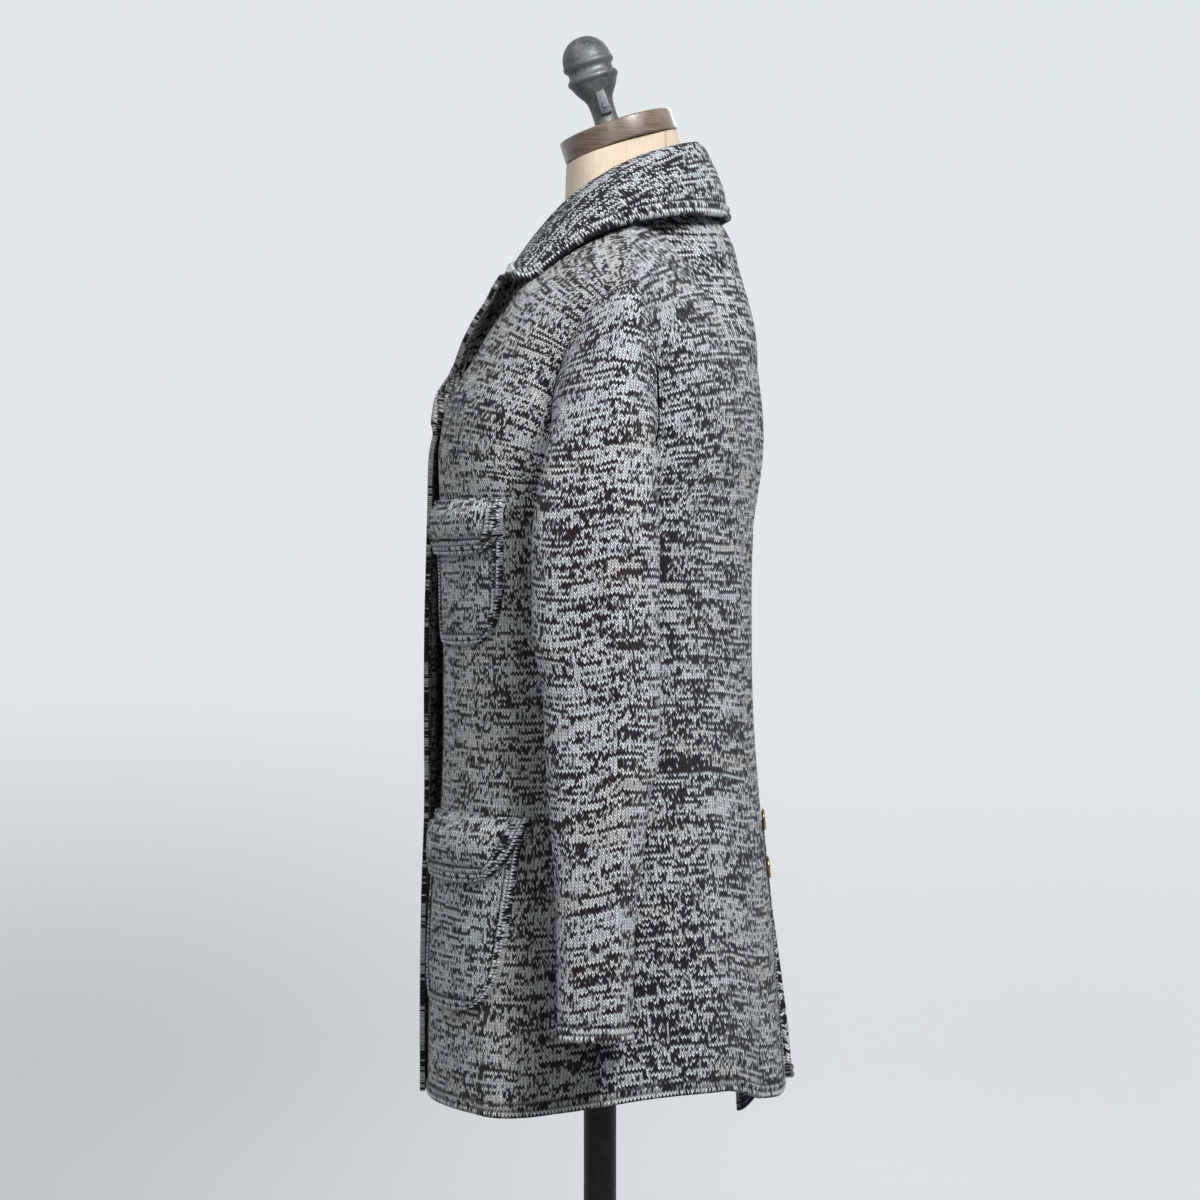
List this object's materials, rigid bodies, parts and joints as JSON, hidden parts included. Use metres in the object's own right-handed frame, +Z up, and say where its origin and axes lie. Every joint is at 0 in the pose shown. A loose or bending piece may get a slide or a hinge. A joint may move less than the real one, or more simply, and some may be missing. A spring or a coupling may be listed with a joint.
{
  "type": "notched collar cardigan on a dress form",
  "caption": "Long knitted cardigan with notched collar, flapped patch pockets and a back vent, buttoned on a limbless dress form with a round foot.",
  "frame": {"origin": "on the floor, under the middle of the round foot", "axes": "+Z up, the front of the cardigan faces -Y, the wearer's left is +X"},
  "size_m": [0.5104, 0.38, 1.5423],
  "materials": {
    "front_left": "marled wool-blend knit, pale blue-grey and plum-navy",
    "back_left": "marled wool-blend knit, pale blue-grey and plum-navy",
    "sleeve_left": "marled wool-blend knit, pale blue-grey and plum-navy",
    "front_right": "marled wool-blend knit, pale blue-grey and plum-navy",
    "back_right": "marled wool-blend knit, pale blue-grey and plum-navy",
    "sleeve_right": "marled wool-blend knit, pale blue-grey and plum-navy",
    "collar": "marled wool-blend knit, pale blue-grey and plum-navy",
    "chest_pocket_left": "marled wool-blend knit, pale blue-grey and plum-navy",
    "chest_pocket_right": "marled wool-blend knit, pale blue-grey and plum-navy",
    "chest_flap_left": "marled wool-blend knit, pale blue-grey and plum-navy",
    "chest_flap_right": "marled wool-blend knit, pale blue-grey and plum-navy",
    "hip_pocket_left": "marled wool-blend knit, pale blue-grey and plum-navy",
    "hip_pocket_right": "marled wool-blend knit, pale blue-grey and plum-navy",
    "hip_flap_left": "marled wool-blend knit, pale blue-grey and plum-navy",
    "hip_flap_right": "marled wool-blend knit, pale blue-grey and plum-navy",
    "front_button_1": "aged, satin",
    "front_button_2": "aged, satin",
    "front_button_3": "aged, satin",
    "front_button_4": "aged, satin",
    "front_button_5": "aged, satin",
    "vent_button_1": "aged, satin",
    "vent_button_2": "aged, satin",
    "form_torso": "plain cream linen",
    "neck_cap": "dark stained, waxed",
    "finial": "aged pewter grey",
    "pole": "blackened",
    "foot": "black enamel"
  },
  "bodies": {
    "root": {"front_left": "front_left", "back_left": "back_left", "sleeve_left": "sleeve_left", "front_right": "front_right", "back_right": "back_right", "sleeve_right": "sleeve_right", "collar": "collar", "chest_pocket_left": "chest_pocket_left", "chest_pocket_right": "chest_pocket_right", "chest_flap_left": "chest_flap_left", "chest_flap_right": "chest_flap_right", "hip_pocket_left": "hip_pocket_left", "hip_pocket_right": "hip_pocket_right", "hip_flap_left": "hip_flap_left", "hip_flap_right": "hip_flap_right", "front_button_1": "front_button_1", "front_button_2": "front_button_2", "front_button_3": "front_button_3", "front_button_4": "front_button_4", "front_button_5": "front_button_5", "vent_button_1": "vent_button_1", "vent_button_2": "vent_button_2", "form_torso": "form_torso", "neck_cap": "neck_cap", "finial": "finial", "pole": "pole", "foot": "foot"}
  },
  "joints": []
}
